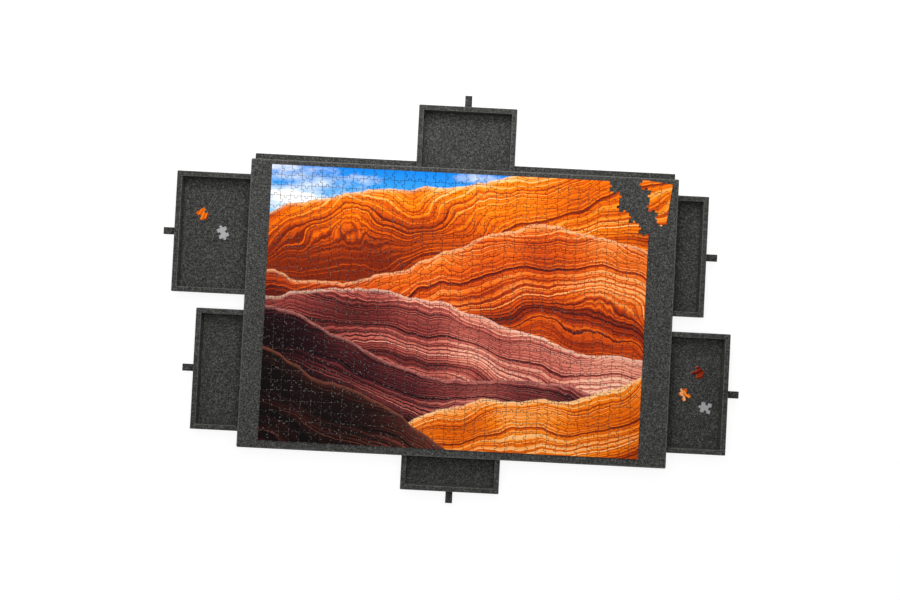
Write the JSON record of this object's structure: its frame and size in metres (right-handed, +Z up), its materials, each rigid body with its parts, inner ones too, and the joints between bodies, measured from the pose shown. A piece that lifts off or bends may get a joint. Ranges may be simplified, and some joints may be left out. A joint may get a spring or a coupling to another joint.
{
  "type": "jigsaw puzzle board with drawers",
  "caption": "Flat felt-covered board for working on a jigsaw, with shallow felt sorting drawers that slide out on all sides by folded pulls.",
  "frame": {"origin": "on the underside of the base, below the middle of the top panel", "axes": "+X along the board to its right, +Y towards the rear edge with the ledge, +Z up"},
  "size_m": [1.0706, 0.7497, 0.047],
  "materials": {
    "panel_felt": "matte",
    "drawer_felt": "matte",
    "pull": "matte",
    "board": "matte",
    "batten": "matte",
    "jigsaw": "satin"
  },
  "bodies": {
    "carcass": {"top_cover": "panel_felt", "top_board": "board", "base_lining": "panel_felt", "base_board": "board", "base_cover": "panel_felt", "rear_left_rail": "batten", "rear_right_rail": "batten", "front_left_rail": "batten", "front_right_rail": "batten", "left_divider": "batten", "right_divider": "batten", "left_inner_wall": "batten", "right_inner_wall": "batten", "centre_stop": "batten", "jigsaw_sheet": "jigsaw", "jigsaw_corner": "jigsaw"},
    "left_rear_drawer": {"left_rear_drawer_floor": "drawer_felt", "left_rear_drawer_front": "drawer_felt", "left_rear_drawer_back": "drawer_felt", "left_rear_drawer_side_a": "drawer_felt", "left_rear_drawer_side_b": "drawer_felt", "left_rear_drawer_pull": "pull", "loose_piece_1": "jigsaw", "loose_piece_2": "jigsaw"},
    "left_front_drawer": {"left_front_drawer_floor": "drawer_felt", "left_front_drawer_front": "drawer_felt", "left_front_drawer_back": "drawer_felt", "left_front_drawer_side_a": "drawer_felt", "left_front_drawer_side_b": "drawer_felt", "left_front_drawer_pull": "pull"},
    "right_rear_drawer": {"right_rear_drawer_floor": "drawer_felt", "right_rear_drawer_front": "drawer_felt", "right_rear_drawer_back": "drawer_felt", "right_rear_drawer_side_a": "drawer_felt", "right_rear_drawer_side_b": "drawer_felt", "right_rear_drawer_pull": "pull"},
    "right_front_drawer": {"right_front_drawer_floor": "drawer_felt", "right_front_drawer_front": "drawer_felt", "right_front_drawer_back": "drawer_felt", "right_front_drawer_side_a": "drawer_felt", "right_front_drawer_side_b": "drawer_felt", "right_front_drawer_pull": "pull", "loose_piece_3": "jigsaw", "loose_piece_4": "jigsaw", "loose_piece_5": "jigsaw"},
    "rear_drawer": {"rear_drawer_floor": "drawer_felt", "rear_drawer_front": "drawer_felt", "rear_drawer_back": "drawer_felt", "rear_drawer_side_a": "drawer_felt", "rear_drawer_side_b": "drawer_felt", "rear_drawer_pull": "pull"},
    "front_drawer": {"front_drawer_floor": "drawer_felt", "front_drawer_front": "drawer_felt", "front_drawer_back": "drawer_felt", "front_drawer_side_a": "drawer_felt", "front_drawer_side_b": "drawer_felt", "front_drawer_pull": "pull"}
  },
  "joints": [
    {"name": "left_rear_slide", "type": "slide", "parent": "carcass", "child": "left_rear_drawer", "axis": [-1, 0, 0], "range_m": [-0.1357, 0.0743]},
    {"name": "left_front_slide", "type": "slide", "parent": "carcass", "child": "left_front_drawer", "axis": [-1, 0, 0], "range_m": [-0.0878, 0.1222]},
    {"name": "right_rear_slide", "type": "slide", "parent": "carcass", "child": "right_rear_drawer", "axis": [1, 0, 0], "range_m": [-0.0579, 0.1521]},
    {"name": "right_front_slide", "type": "slide", "parent": "carcass", "child": "right_front_drawer", "axis": [1, 0, 0], "range_m": [-0.1089, 0.1011]},
    {"name": "rear_slide", "type": "slide", "parent": "carcass", "child": "rear_drawer", "axis": [0, 1, 0], "range_m": [-0.1149, 0.0751]},
    {"name": "front_slide", "type": "slide", "parent": "carcass", "child": "front_drawer", "axis": [0, -1, 0], "range_m": [-0.0628, 0.1272]}
  ]
}
